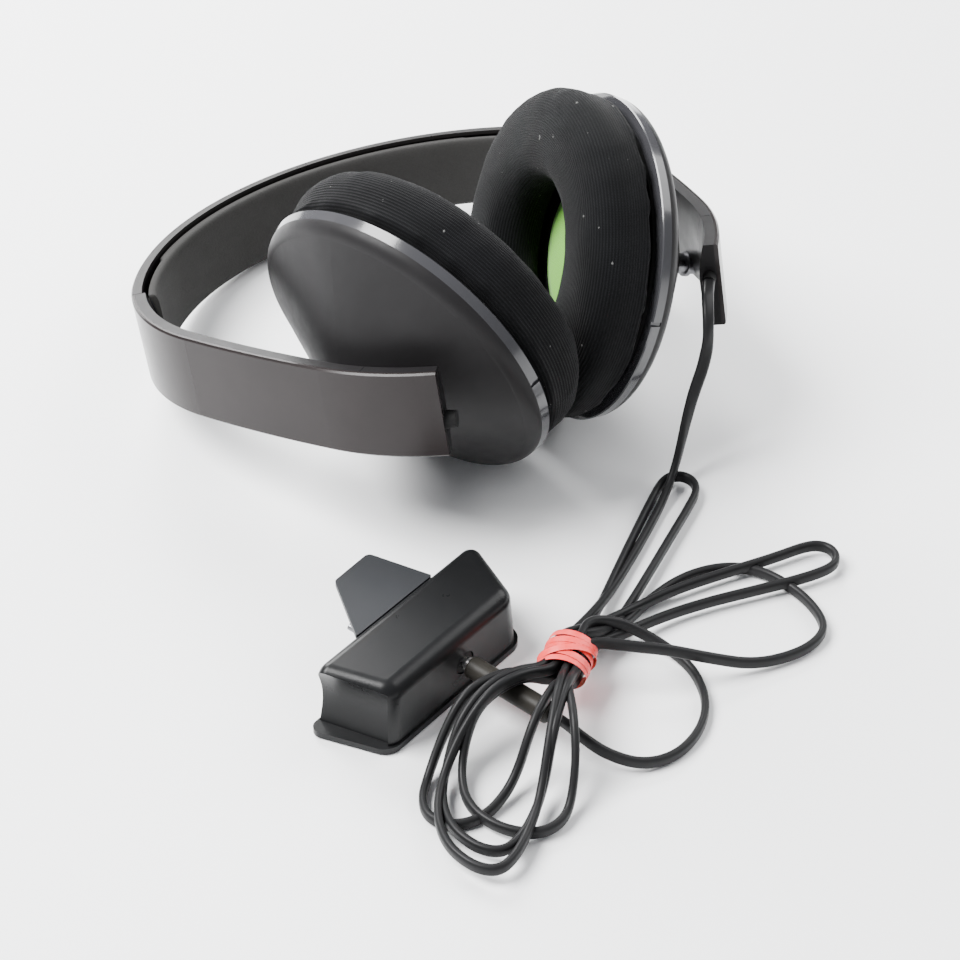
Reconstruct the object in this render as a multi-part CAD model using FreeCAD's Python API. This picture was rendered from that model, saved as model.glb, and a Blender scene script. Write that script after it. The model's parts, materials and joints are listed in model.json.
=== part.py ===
import FreeCAD, Part
import math
import os

V = FreeCAD.Vector
os.makedirs("parts", exist_ok=True)

# An over-ear headset lying on its side: the crown of the band and both cup rims rest on the surface.
# Head frame: +X to the right cup, +Y to the crown of the band, +Z across the band's width.
# The head frame is tipped about X, so the crown is low and the arm ends are high.

# --- band ---
tilt = 14.2                # degrees, crown down
crown_y = 77.55            # row Y of the crown's outer edge
lift = 0.06                # row Z of the crown's lower edge
band_width = 25.0
arcs = [(89.0, 56.0), (59.0, 47.5), (440.0, 6.5), (72.5, 25.0), (600.0, 0.6)]   # radius, turn
shell_wall = 1.5
rim_depth = 3.2            # how far the shell's edges turn in
rim_wall = 1.2
spring_wall = 0.8
pad_front = 7.4            # depth of the pad's head side
split_at = 95.0            # distance along the curve where band meets arm
arm_end_at = 220.5
cap_at = 199.0             # start of the arm's end cap
skin_wall = 1.2
arm_edge = 4.2             # arm thickness at its edges
arm_mid = 6.2              # arm thickness at its middle
seam = 0.3
slider_length = 24.0
slider_hold = 6.0          # how far the slider is fixed into the arm
slider_wall = 1.2
slider_width = 12.0

# --- cups ---
pivot = V(51.0, -126.8, 9.1)    # ball centre, right side, head frame
pivot_height = 21.0             # ball centre above the cup's rim plane
droop = 20.4                    # how far the cup axis leans down, degrees
toe = {"left": 11.5, "right": 14.5}
stud_toe = 13.0
rim_radius = 47.5
rim_height = 3.0
cover_wall = 2.0
ball_radius = 5.0
neck_radius = 3.0
neck_length = 16.0
ball_gap = 0.3
liner_wall = 1.0
socket_radius = 9.0
cushion_depth = 16.0
cushion_hole = 22.0
driver_radius = 20.0
screw_circle = 35.0

# --- cable and plug ---
cord_radius = 1.6
floor_gap = 0.15
plug_length = 26.0
plug_radius = 3.0
pin_radius = 1.75

# --- chat adapter ---
adapter_at = V(-116.0, -187.0 + crown_y, 0.0)
adapter_turn = 13.5
adapter_height = 22.0
plate_height = 2.4
jack_x = 38.0
jack_z = 11.0
adapter_depth = 21.0
button_spacing = 12.0
button_recess = 0.6


def save(name, shape):
    solids = shape.Solids
    if len(solids) == 1:
        shape = solids[0]
    if not shape.isValid() or not solids:
        print("PROBLEM", name, len(solids), shape.isValid())
    shape.exportStep("parts/" + name + ".step")
    print("%-22s solids %d volume %9.1f" % (name, len(solids), shape.Volume))


def head(shape):
    """From the head frame to the row frame."""
    placed = shape.copy()
    turn = FreeCAD.Rotation(V(1, 0, 0), -tilt)
    placed.Placement = FreeCAD.Placement(V(0, crown_y, lift), turn).multiply(placed.Placement)
    return placed


def to_side(shape, side):
    if side == "left":
        shape = shape.mirror(V(0, 0, 0), V(1, 0, 0))
    return head(shape)


def inward_at(heading):
    return V(math.sin(heading), -math.cos(heading), 0)


def station(distance):
    """Point and heading on the band's outer curve, right half, counted from the crown."""
    point = V(0, 0, 0)
    heading = 0.0
    left = distance
    for radius, turn in arcs:
        angle = min(left / radius, math.radians(turn))
        centre = point + inward_at(heading) * radius
        rotation = FreeCAD.Rotation(V(0, 0, 1), -math.degrees(angle))
        point = centre + rotation.multVec(point - centre)
        heading = heading - angle
        left = left - angle * radius
        if left < 1e-6:
            break
    return point, heading


def at(distance, depth, across):
    point, heading = station(distance)
    return point + inward_at(heading) * depth + V(0, 0, across)


def along(section, first, last):
    """Sweep a (depth, across) section along the curve from one station to another."""
    pieces = []
    start = 0.0
    for radius, turn in arcs:
        length = math.radians(turn) * radius
        low = max(first, start)
        high = min(last, start + length)
        if high - low > 0.01:
            point, heading = station(low)
            centre = point + inward_at(heading) * radius
            edges = []
            for ends in section:
                points = [at(low, depth, across) for depth, across in ends]
                if len(points) == 2:
                    edges.append(Part.LineSegment(points[0], points[1]).toShape())
                else:
                    edges.append(Part.Arc(points[0], points[1], points[2]).toShape())
            face = Part.Face(Part.Wire(edges))
            pieces.append(face.revolve(centre, V(0, 0, -1), math.degrees((high - low) / radius)))
        start = start + length
    solid = pieces[0]
    for piece in pieces[1:]:
        solid = solid.fuse(piece)
    return solid.removeSplitter()


def polygon(points):
    return [[points[i - 1], points[i]] for i in range(len(points))]


def box_section(near, far, low, high, chamfer=0.4):
    return polygon([
        (near, low + chamfer), (near + chamfer, low), (far, low), (far, high),
        (near + chamfer, high), (near, high - chamfer)])


def crowned_section(near, edge, middle, low, high):
    centre = (low + high) / 2
    return [
        [(near, low), (near, high)],
        [(near, high), (edge, high)],
        [(edge, high), (middle, centre), (edge, low)],
        [(edge, low), (near, low)]]


def both_halves(shape):
    return shape.fuse(shape.mirror(V(0, 0, 0), V(1, 0, 0))).removeSplitter()


def turned(profile):
    """Revolve an (r, z) outline about Z; a three-point entry is an arc."""
    edges = []
    for ends in profile:
        points = [V(r, 0, z) for r, z in ends]
        if len(points) == 2:
            edges.append(Part.LineSegment(points[0], points[1]).toShape())
        else:
            edges.append(Part.Arc(points[0], points[1], points[2]).toShape())
    return Part.Face(Part.Wire(edges)).revolve(V(0, 0, 0), V(0, 0, 1), 360)


def tube(outer, inner, low, high):
    body = Part.makeCylinder(outer, high - low, V(0, 0, low))
    if inner > 0:
        body = body.cut(Part.makeCylinder(inner, high - low + 2, V(0, 0, low - 1)))
    return body


def cup_axis(toe_angle):
    return V(
        math.cos(math.radians(toe_angle)) * math.cos(math.radians(droop)),
        -math.sin(math.radians(toe_angle)) * math.cos(math.radians(droop)),
        -math.sin(math.radians(droop)))


def cup_placement(toe_angle):
    """Cup frame: Z along the cup's axis, origin at the centre of the rim plane."""
    axis = cup_axis(toe_angle)
    across = V(0, 0, 1) - axis * axis.z
    across.normalize()
    third = axis.cross(across)
    matrix = FreeCAD.Matrix(
        across.x, third.x, axis.x, 0,
        across.y, third.y, axis.y, 0,
        across.z, third.z, axis.z, 0,
        0, 0, 0, 1)
    placement = FreeCAD.Placement(matrix)
    placement.Base = pivot - axis * pivot_height
    return placement


def cup(shape, side, toe_angle=None):
    placed = shape.copy()
    angle = toe[side] if toe_angle is None else toe_angle
    placed.Placement = cup_placement(angle).multiply(placed.Placement)
    return to_side(placed, side)


def spots(count, radius, start=0.0):
    return [
        V(radius * math.cos(math.radians(start + 360.0 * i / count)),
          radius * math.sin(math.radians(start + 360.0 * i / count)), 0)
        for i in range(count)]


# ---------------------------------------------------------------- band
mid = band_width / 2
shell_end = split_at - seam
shell = along(polygon([
    (0.0, 0.5), (0.5, 0.0), (rim_depth, 0.0), (rim_depth, rim_wall), (shell_wall, rim_wall),
    (shell_wall, band_width - rim_wall), (rim_depth, band_width - rim_wall),
    (rim_depth, band_width), (0.5, band_width), (0.0, band_width - 0.5)]), 0.0, shell_end)
save("band_shell", head(both_halves(shell)))

spring_end = 66.0
spring = along(box_section(shell_wall + 0.1, shell_wall + 0.1 + spring_wall, mid - 6, mid + 6, 0.1),
               0.0, spring_end)
save("band_spring", head(both_halves(spring)))

pad_back = shell_wall + spring_wall + 0.4
slot_depth = 4.9
pad_low = rim_wall + 0.2
pad_high = band_width - rim_wall - 0.2
pad = along(crowned_section(pad_back, pad_front - 1.2, pad_front, pad_low, pad_high), 0.0, spring_end + 0.5)
pad_tail = along(crowned_section(slot_depth, pad_front - 1.2, pad_front, pad_low, pad_high),
                 spring_end + 0.5, shell_end)
save("band_pad", head(both_halves(pad.fuse(pad_tail))))

# The slider is a straight steel bar: it runs along the chord of the band's end.
slider_heading = station(split_at - (slider_length - slider_hold) / 2)[1]
slider_side = inward_at(slider_heading)
slider_tail = at(split_at - slider_length, 2.7, mid - slider_width / 2)
slider = Part.makeBox(slider_length + slider_hold, slider_wall, slider_width)
slider = slider.makeFillet(3.0, [slider.Edges[1], slider.Edges[3]])
slider.Placement = FreeCAD.Placement(slider_tail + slider_side * (slider_wall / 2),
                                     FreeCAD.Rotation(V(0, 0, 1), math.degrees(slider_heading)))

arm_body = along(crowned_section(skin_wall, arm_edge, arm_mid, 0.0, band_width), split_at, cap_at - seam / 2)
arm_body = arm_body.cut(slider)
arm_skin = along(box_section(0.0, skin_wall, 0.0, band_width, 0.5), split_at, arm_end_at)
arm_cap = along(crowned_section(skin_wall, arm_edge, arm_mid, 0.0, band_width), cap_at, arm_end_at)

end_heading = station(arm_end_at)[1]
end_along = V(math.cos(end_heading), math.sin(end_heading), 0)
boss_length = 3.0
boss_root = 2.0
boss_depth = 3.3
boss_across = {"left": 9.5, "right": 15.0}
boss_radius = {"left": 2.8, "right": 2.2}
bosses = {}
for side in ("left", "right"):
    root = at(arm_end_at, boss_depth, boss_across[side]) - end_along * boss_root
    bosses[side] = Part.makeCone(boss_radius[side], boss_radius[side] - 0.5, boss_length + boss_root, root,
                                 end_along)

stud_axis = cup_axis(stud_toe)
ball = Part.makeSphere(ball_radius, pivot, stud_axis)
neck = Part.makeCylinder(neck_radius, neck_length, pivot, stud_axis)
collar = Part.makeCylinder(neck_radius + 0.8, 1.2, pivot + stud_axis * (neck_length - 4.4), stud_axis)
stud = ball.fuse([neck, collar]).removeSplitter()
arm_body = arm_body.cut(stud)
stud = stud.cut(along(box_section(-8.0, skin_wall, -5.0, band_width, 0.1), split_at, arm_end_at))

for side in ("left", "right"):
    save("arm_slider_" + side, to_side(slider, side))
    save("arm_body_" + side, to_side(arm_body, side))
    save("arm_skin_" + side, to_side(arm_skin.cut(bosses[side]), side))
    save("arm_cap_" + side, to_side(arm_cap.cut(bosses[side]), side))
    save("ball_stud_" + side, to_side(stud, side))
save("cable_grommet", to_side(bosses["right"], "right"))
save("end_plug", to_side(bosses["left"], "left"))

# ---------------------------------------------------------------- cups, cup frame
cover_outer = [(46.9, rim_height), (46.0, 5.0), (43.6, 6.8)]
apex_radius = 9.0
cover_top = 26.5
neck_hole = 5.0
cover = turned([
    cover_outer,
    [(43.6, 6.8), (apex_radius + 2, 25.2)],
    [(apex_radius + 2, 25.2), (apex_radius, 26.1), (apex_radius - 2, cover_top)],
    [(apex_radius - 2, cover_top), (neck_hole, cover_top)],
    [(neck_hole, cover_top), (neck_hole, cover_top - cover_wall)],
    [(neck_hole, cover_top - cover_wall), (apex_radius + 0.1, cover_top - cover_wall)],
    [(apex_radius + 0.1, cover_top - cover_wall), (42.4, 5.2)],
    [(42.4, 5.2), (44.4, rim_height)],
    [(44.4, rim_height), (46.9, rim_height)]])
for spot in spots(3, screw_circle, 30):
    column = Part.makeCylinder(3.0, 7.0, V(spot.x, spot.y, 2.4))
    cover = cover.fuse(column)
    cover = cover.cut(Part.makeCylinder(1.0, 5.0, V(spot.x, spot.y, 2.0)))
socket_low = 16.8
socket_high = cover_top - cover_wall
cover = cover.removeSplitter()

rim_inner = 43.2
rim = turned(polygon([
    (rim_inner, 0.0), (rim_radius - 0.3, 0.0), (rim_radius, 0.3), (46.9, rim_height),
    (rim_inner, rim_height)]))
rim_notch = Part.makeBox(1.0, 1.3, rim_height + 2, V(rim_radius - 0.9, -0.65, -1.0))
rim_notch_turn = {"left": 93.0, "right": 94.0}

liner_in = ball_radius + ball_gap
liner_out = liner_in + liner_wall
socket_in = liner_out + ball_gap
zone = 2.2
liner = Part.makeSphere(liner_out).cut(Part.makeSphere(liner_in))
liner = liner.common(Part.makeBox(30, 30, 2 * zone, V(-15, -15, -zone)))
liner.translate(V(0, 0, pivot_height))
socket = Part.makeCylinder(socket_radius, socket_high - socket_low, V(0, 0, socket_low))
socket = socket.cut(Part.makeSphere(socket_in, V(0, 0, pivot_height)))

plate_low = 0.3
plate_high = 2.3
baffle = tube(rim_inner - 0.1, driver_radius + 0.2, plate_low, plate_high)
for spot in spots(3, screw_circle, 30):
    baffle = baffle.cut(Part.makeCylinder(1.3, 4.0, V(spot.x, spot.y, 0)))
for spot in spots(6, 30.0, 0):
    baffle = baffle.cut(Part.makeCylinder(2.0, 4.0, V(spot.x, spot.y, 0)))

frame_top = 6.5
driver_frame = tube(driver_radius, driver_radius - 1.5, -0.4, frame_top)
driver_frame = driver_frame.fuse(
    tube(driver_radius + 2, driver_radius - 1.5, plate_high + 0.05, plate_high + 1.2))
driver_frame = driver_frame.fuse(tube(driver_radius - 0.5, 7.0, frame_top - 1.2, frame_top)).removeSplitter()
for spot in spots(8, 12.5, 0):
    driver_frame = driver_frame.cut(Part.makeCylinder(2.0, 6.0, V(spot.x, spot.y, 3.0)))
magnet = tube(9.5, 0, frame_top + 0.1, 12.5).fuse(tube(6.8, 0, 3.2, frame_top + 0.1)).removeSplitter()
diaphragm = turned([
    [(0.0, 2.0), (driver_radius - 1.8, 0.9)],
    [(driver_radius - 1.8, 0.9), (driver_radius - 1.8, 1.4)],
    [(driver_radius - 1.8, 1.4), (0.0, 2.5)],
    [(0.0, 2.5), (0.0, 2.0)]])
grille = tube(driver_radius - 0.1, 0, -1.3, -0.5)
for ring_radius, count in ((5.5, 6), (10.5, 12), (15.5, 16)):
    for spot in spots(count, ring_radius, 0):
        grille = grille.cut(Part.makeCylinder(1.2, 3.0, V(spot.x, spot.y, -2)))
cloth = turned([
    [(0.0, -2.4), (12.0, -2.1), (driver_radius + 1.2, -1.5)],
    [(driver_radius + 1.2, -1.5), (driver_radius + 1.2, -1.2)],
    [(driver_radius + 1.2, -1.2), (driver_radius + 0.2, -1.2)],
    [(driver_radius + 0.2, -1.2), (driver_radius + 0.2, -1.4)],
    [(driver_radius + 0.2, -1.4), (0.0, -1.4)],
    [(0.0, -1.4), (0.0, -2.4)]])
hook_ring = tube(43.0, 36.0, -0.9, 0.2)
back = -1.1
face = back - cushion_depth
belly_out = rim_radius - 0.2
shoulder = back - 0.65 * cushion_depth
waist_at = back - 0.45 * cushion_depth
cushion = turned([
    [(45.0, back), (belly_out, back - 4.8), (44.8, shoulder)],
    [(44.8, shoulder), (40.5, face + 1.8), (35.0, face)],
    [(35.0, face), (26.0, face + 4.0), (cushion_hole, waist_at)],
    [(cushion_hole, waist_at), (cushion_hole + 0.6, back - 2.4), (cushion_hole + 3.5, back)],
    [(cushion_hole + 3.5, back), (45.0, back)]])
screws = []
for spot in spots(3, screw_circle, 30):
    shank = Part.makeCylinder(0.95, 6.2, V(spot.x, spot.y, plate_low))
    top = Part.makeCylinder(2.0, 0.8, V(spot.x, spot.y, plate_low - 0.8 + 0.3))
    screw = shank.fuse(top).removeSplitter()
    screws.append(screw)
screws_inside = 0.3
baffle = baffle.cut(Part.makeCompound([
    Part.makeCylinder(2.1, screws_inside + 0.01, V(spot.x, spot.y, plate_low - 0.01))
    for spot in spots(3, screw_circle, 30)]))
hook_ring = hook_ring.cut(Part.makeCompound([
    Part.makeCylinder(2.4, 3.0, V(spot.x, spot.y, -2)) for spot in spots(3, screw_circle, 30)]))

for side in ("left", "right"):
    notch = rim_notch.copy()
    notch.rotate(V(0, 0, 0), V(0, 0, 1), rim_notch_turn[side])
    save("socket_liner_" + side, cup(liner, side))
    save("ball_socket_" + side, cup(socket, side))
    save("cup_cover_" + side, cup(cover, side))
    save("cup_rim_" + side, cup(rim.cut(notch), side))
    save("baffle_" + side, cup(baffle, side))
    save("driver_frame_" + side, cup(driver_frame, side))
    save("driver_magnet_" + side, cup(magnet, side))
    save("diaphragm_" + side, cup(diaphragm, side))
    save("driver_grille_" + side, cup(grille, side))
    save("driver_cloth_" + side, cup(cloth, side))
    save("cushion_ring_" + side, cup(hook_ring, side))
    save("ear_cushion_" + side, cup(cushion, side))
    save("cup_screws_" + side, cup(Part.makeCompound(screws), side))

# ---------------------------------------------------------------- chat adapter, its own frame
# X along its long back edge, Y towards the controller, Z up; it lies on its button face.
adapter_place = FreeCAD.Placement(adapter_at, FreeCAD.Rotation(V(0, 0, 1), adapter_turn))


def adapter(shape):
    placed = shape.copy()
    placed.Placement = adapter_place.multiply(placed.Placement)
    return placed


def rounded_outline(points, radii, z):
    """Closed wire through the corner points, each corner rounded by its own radius."""
    edges = []
    starts = []
    ends = []
    count = len(points)
    for i in range(count):
        corner = V(points[i][0], points[i][1], z)
        before = V(points[i - 1][0], points[i - 1][1], z) - corner
        after = V(points[(i + 1) % count][0], points[(i + 1) % count][1], z) - corner
        before.normalize()
        after.normalize()
        half = before.getAngle(after) / 2
        radius = radii[i]
        trim = radius / math.tan(half)
        middle = before + after
        middle.normalize()
        centre = corner + middle * (radius / math.sin(half))
        starts.append(corner + before * trim)
        ends.append(corner + after * trim)
        edges.append(Part.Arc(starts[i], centre - middle * radius, ends[i]).toShape())
    for i in range(count):
        edges.append(Part.LineSegment(ends[i - 1], starts[i]).toShape())
    return Part.Wire(Part.__sortEdges__(edges))


def grown(points, by):
    """The outline moved outwards by a distance, for a small distance."""
    middle_x = sum(x for x, y in points) / len(points)
    middle_y = sum(y for x, y in points) / len(points)
    wide = max(x for x, y in points) - min(x for x, y in points)
    deep = max(y for x, y in points) - min(y for x, y in points)
    return [(middle_x + (x - middle_x) * (1 + 2 * by / wide), middle_y + (y - middle_y) * (1 + 2 * by / deep))
            for x, y in points]


foot = [(2.6, 0.0), (9.0, -adapter_depth), (60.0, -adapter_depth), (67.0, 0.0)]
crown = [(2.8, 0.0), (10.0, -adapter_depth), (57.5, -adapter_depth), (67.0, 0.0)]
behind = 12.0
case_wall = 1.8
corner = 5.0
top_round = 4.2
back_round = 2.5


def run_on(points):
    """The outline with its two back corners carried on behind the back wall."""
    left = (points[1][0] - points[0][0]) / adapter_depth
    right = (points[2][0] - points[3][0]) / adapter_depth
    return [(points[0][0] - left * behind, behind), points[1], points[2],
            (points[3][0] - right * behind, behind)]


case_corners = [corner] * 4
case = Part.makeLoft([rounded_outline(run_on(foot), case_corners, plate_height),
                      rounded_outline(run_on(crown), case_corners, adapter_height)], True, True)
case = case.makeFillet(top_round, [
    edge for edge in case.Edges if min(v.Z for v in edge.Vertexes) > adapter_height - 0.01])
case = case.cut(Part.makeBox(120.0, 30.0, 60.0, V(-20.0, 0.0, -10.0)))
case = case.makeFillet(back_round, [
    edge for edge in case.Edges
    if max(abs(v.Y) for v in edge.Vertexes) < 0.01 and abs(edge.Vertexes[0].Z - edge.Vertexes[-1].Z) > 1.0])
inner_corners = [corner - 1.5] * 4
hollow = Part.makeLoft([
    rounded_outline(grown(foot, -case_wall), inner_corners, plate_height - 1.0),
    rounded_outline(grown(crown, -case_wall - 0.8), inner_corners, adapter_height - case_wall)], True, True)
waist_radius = 22.0
waist_from = V(-17.6, 5.0, 11.0)
waist_along = V(0.28, -1.0, 0)
waist = Part.makeCylinder(waist_radius, adapter_depth + 10, waist_from, waist_along)
hollow = hollow.cut(Part.makeCylinder(waist_radius + case_wall, adapter_depth + 10, waist_from, waist_along))
case = case.cut(waist).cut(hollow)
jack_hole = Part.makeCylinder(3.4, 8.0, V(jack_x, -adapter_depth + 4, jack_z), V(0, -1, 0))
case = case.cut(jack_hole)
plate_outline = [(0.3, 0.4), (8.2, -adapter_depth - 0.6), (61.0, -adapter_depth - 0.6), (68.3, 0.4)]
plate_corners = [back_round, corner + 0.5, corner + 0.5, corner]
plate = Part.Face(rounded_outline(plate_outline, plate_corners, 0.0)).extrude(V(0, 0, plate_height - 0.02))
plate = plate.makeChamfer(0.5, [edge for edge in plate.Edges if max(v.Z for v in edge.Vertexes) < 0.01])

button_names = ("button_volume_up", "button_volume_down", "button_mute", "button_balance")
button_size = V(8.0, 5.0, 0)
button_y = -11.0
button_gap = 0.3
flange = 1.0
buttons = []
for i in range(len(button_names)):
    centre_x = 18.0 + button_spacing * i
    low = V(centre_x - button_size.x / 2, button_y - button_size.y / 2, button_recess)
    key = Part.makeBox(button_size.x, button_size.y, plate_height + 1.2, low)
    key = key.makeFillet(1.2, [edge for edge in key.Edges if abs(edge.Vertexes[0].Z - edge.Vertexes[1].Z) > 1])
    key_flange = Part.makeBox(button_size.x + 2 * flange, button_size.y + 2 * flange, 0.9,
                              V(low.x - flange, low.y - flange, plate_height + 0.3))
    buttons.append(key.fuse(key_flange).removeSplitter())
    plate = plate.cut(Part.makeBox(button_size.x + 2 * button_gap, button_size.y + 2 * button_gap, 6.0,
                                   V(low.x - button_gap, low.y - button_gap, -1.0)))
screw_places = [V(12.5, -4.0, 0), V(58.5, -4.0, 0)]
adapter_screws = []
for place in screw_places:
    head_low = 0.5
    screw = Part.makeCylinder(1.9, 0.9, V(place.x, place.y, head_low))
    screw = screw.fuse(Part.makeCylinder(0.9, 6.0, V(place.x, place.y, head_low))).removeSplitter()
    adapter_screws.append(screw)
    plate = plate.cut(Part.makeCylinder(2.0, head_low + 0.9 + 1.0, V(place.x, place.y, -1.0)))
    plate = plate.cut(Part.makeCylinder(1.0, 9.0, V(place.x, place.y, -1.0)))
    post_top = 9.0
    post = Part.makeCylinder(2.6, post_top - plate_height, V(place.x, place.y, plate_height))
    case = case.fuse(post).cut(Part.makeCylinder(0.92, 5.0, V(place.x, place.y, plate_height - 0.5)))
    wall_tie = Part.makeBox(1.6, 3.2, post_top - plate_height, V(place.x - 0.8, place.y + 1.4, plate_height))
    case = case.fuse(wall_tie.cut(Part.makeCylinder(1.2, 20.0, V(place.x, place.y, 0))))
case = case.removeSplitter()

board_low = 6.4
board = Part.makeBox(35.0, 13.0, 1.6, V(19.0, -17.5, board_low))
socket_nose = 3.2
jack_front = -adapter_depth + 0.3
jack = Part.makeBox(11.0, 13.0, 6.4, V(jack_x - 5.5, -adapter_depth + case_wall + 1.2, board_low + 1.7))
jack = jack.fuse(Part.makeCylinder(socket_nose, 3.0, V(jack_x, jack_front, jack_z), V(0, 1, 0)))
jack = jack.cut(Part.makeCylinder(pin_radius + 0.05, 13.0, V(jack_x, jack_front - 1, jack_z), V(0, 1, 0)))
jack = jack.removeSplitter()
tongue_points = [(20.0, 0.02), (49.5, 0.02), (45.0, 18.6), (31.6, 18.2)]
tongue = Part.Face(rounded_outline(tongue_points, [0.4, 0.4, 1.8, 1.5], 19.4)).extrude(V(0, 0, 1.6))
connector = [
    Part.makeBox(13.0, 6.0, 4.5, V(30.0, 0.02, 12.0)),
    Part.makeCylinder(1.0, 7.5, V(25.5, 0.02, 15.6), V(0, 1, 0)),
    Part.makeCylinder(1.0, 7.5, V(47.5, 0.02, 15.6), V(0, 1, 0))]

save("adapter_case", adapter(case))
save("adapter_face", adapter(plate))
for name, key in zip(button_names, buttons):
    save(name, adapter(key))
save("adapter_screws", adapter(Part.makeCompound(adapter_screws)))
save("adapter_board", adapter(board))
save("jack_socket", adapter(jack))
save("adapter_tongue", adapter(tongue))
save("adapter_connector", adapter(Part.makeCompound(connector)))

# ---------------------------------------------------------------- plug, in the adapter's frame
pin_gap = 2.0
pin_depth = 11.0
barrel_front = -adapter_depth - pin_gap
barrel = Part.makeCylinder(plug_radius, plug_length, V(jack_x, barrel_front, jack_z), V(0, -1, 0))
barrel = barrel.makeFillet(0.6, [
    edge for edge in barrel.Edges if edge.Length > 12 and len(edge.Vertexes) == 1])
pin = Part.makeCylinder(pin_radius, pin_depth + pin_gap, V(jack_x, barrel_front, jack_z), V(0, 1, 0))
pin = pin.fuse(Part.makeCylinder(2.4, 0.7, V(jack_x, barrel_front, jack_z), V(0, 1, 0)))
for groove in (3.0, 6.0, 9.0):
    ring = tube(pin_radius + 0.1, pin_radius - 0.25, 0, 0.4)
    ring.Placement = FreeCAD.Placement(V(jack_x, barrel_front + pin_gap + groove - 1.5, jack_z),
                                       FreeCAD.Rotation(V(1, 0, 0), -90))
    pin = pin.cut(ring)
pin = pin.removeSplitter()
save("plug_barrel", adapter(barrel))
save("plug_pin", adapter(pin))
barrel_end = adapter_place.multVec(V(jack_x, barrel_front - plug_length, jack_z))
plug_along = adapter_place.Rotation.multVec(V(0, -1, 0))

# ---------------------------------------------------------------- cable
head_place = FreeCAD.Placement(V(0, crown_y, lift), FreeCAD.Rotation(V(1, 0, 0), -tilt))
cord_exit = head_place.multVec(at(arm_end_at, boss_depth, boss_across["right"]) + end_along * boss_length)
exit_along = head_place.Rotation.multVec(end_along)
rest = cord_radius + floor_gap


def cord_tube(name, points, radius):
    """Straight runs joined by tangent arcs, each arc as large as its two runs allow."""
    edges = []
    done = points[0]
    for before, corner_point, after in zip(points, points[1:], points[2:]):
        back_along = before - corner_point
        on_along = after - corner_point
        trim = 0.45 * min(back_along.Length, on_along.Length)
        back_along.normalize()
        on_along.normalize()
        half_turn = (math.pi - back_along.getAngle(on_along)) / 2
        bend = trim / math.tan(half_turn)
        middle = back_along + on_along
        middle.normalize()
        arc_centre = corner_point + middle * math.hypot(trim, bend)
        start = corner_point + back_along * trim
        end = corner_point + on_along * trim
        edges.append(Part.LineSegment(done, start).toShape())
        edges.append(Part.Arc(start, arc_centre - middle * bend, end).toShape())
        done = end
        print("%s bend radius %.1f turn %.0f" % (name, bend, math.degrees(2 * half_turn)))
    edges.append(Part.LineSegment(done, points[-1]).toShape())
    path = Part.Wire(edges)
    first = points[1] - points[0]
    ring = Part.Wire(Part.makeCircle(radius, points[0], first))
    solid = path.makePipeShell([ring], True, False)
    print("%s length %.1f volume ratio %.3f" % (
        name, path.Length, solid.Volume / (path.Length * math.pi * radius * radius)))
    return solid


run_points = [
    cord_exit,
    cord_exit + exit_along * 5.8,
    V(37.3, -83.7, 54.3),
    V(34.8, -87.2, 51.0),
    V(33.6, -89.0, 45.6),
    V(32.5, -88.9, 37.6),
    V(30.5, -88.1, 29.3),
    V(28.1, -88.4, 20.1),
    V(25.7, -89.3, 12.0),
    V(22.5, -91.1, 7.3),
    V(18.6, -93.4, 4.3),
    V(14.2, -96.0, 2.6),
    V(9.8, -98.6, rest)]
lead_points = [
    V(-22.0, -147.8, rest),
    V(-23.5, -155.8, rest),
    V(-28.0, -163.8, rest),
    V(-36.0, -169.8, rest),
    V(-46.0, -172.2, rest),
    V(-55.0, -169.8, 2.6),
    V(-61.5, -163.8, 5.5),
    V(-65.0, -158.2, 9.0),
    barrel_end + plug_along * 5.0,
    barrel_end]

# The tied loops: a flat shape of the fanned loops, raised where the tie holds them over the plug.
tie = V(-53.0, -136.7, 0)
tie_turn = 34.0
tie_place = FreeCAD.Placement(tie, FreeCAD.Rotation(V(0, 0, 1), tie_turn))


def hank_slab(profile, half_width):
    """A side profile in the tie's frame, X along the bundle, drawn out to both sides."""
    wire = Part.makePolygon([V(x, -half_width, z) for x, z in profile + profile[:1]])
    slab = Part.Face(wire).extrude(V(0, 2 * half_width, 0))
    slab.Placement = tie_place
    return slab


def plan_prism(points):
    wire = Part.makePolygon([V(x, y, -1.0) for x, y in points + points[:1]])
    return Part.Face(wire).extrude(V(0, 0, 40.0))


tie_low = 8.0
tie_high = 16.0
side_profile = [
    (-64.0, 0.1), (-38.0, 0.1), (-24.0, 14.6), (-9.5, 14.6), (-7.0, tie_low), (7.0, tie_low), (18.0, 0.1),
    (95.0, 0.1), (95.0, 5.8), (26.0, 5.8), (8.0, tie_high), (-7.0, tie_high), (-9.5, 20.0), (-25.0, 20.0),
    (-40.0, 5.6), (-64.0, 5.6)]
slab = hank_slab(side_profile, 60.0)
lower_plan = [
    (-50.0, -132.2), (-62.0, -131.2), (-80.0, -131.7), (-96.0, -138.2), (-107.0, -148.2), (-111.5, -163.7),
    (-107.0, -174.7), (-96.0, -176.2), (-86.0, -169.2), (-76.0, -169.2), (-66.0, -163.7), (-57.5, -145.7),
    (-50.0, -141.2)]
near_loop = [(-56.0, -132.7), (-50.0, -140.7), (-33.0, -133.7), (21.0, -99.2), (26.0, -94.7), (20.5, -89.2),
             (5.0, -97.7), (-27.0, -117.2), (-44.0, -128.2)]
far_loop = [(-46.0, -137.7), (-40.0, -126.7), (-6.0, -127.7), (36.0, -137.2), (38.5, -141.2), (36.0, -145.7),
            (16.0, -144.7)]
round_loop = [(-40.0, -127.7), (-20.0, -121.7), (-4.0, -123.7), (9.0, -131.7), (18.0, -143.7), (19.0, -154.7),
              (12.0, -165.7), (0.0, -169.7), (-13.0, -165.7), (-20.0, -156.7), (-27.0, -141.7), (-45.0, -138.7)]
plan = plan_prism(lower_plan)
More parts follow.
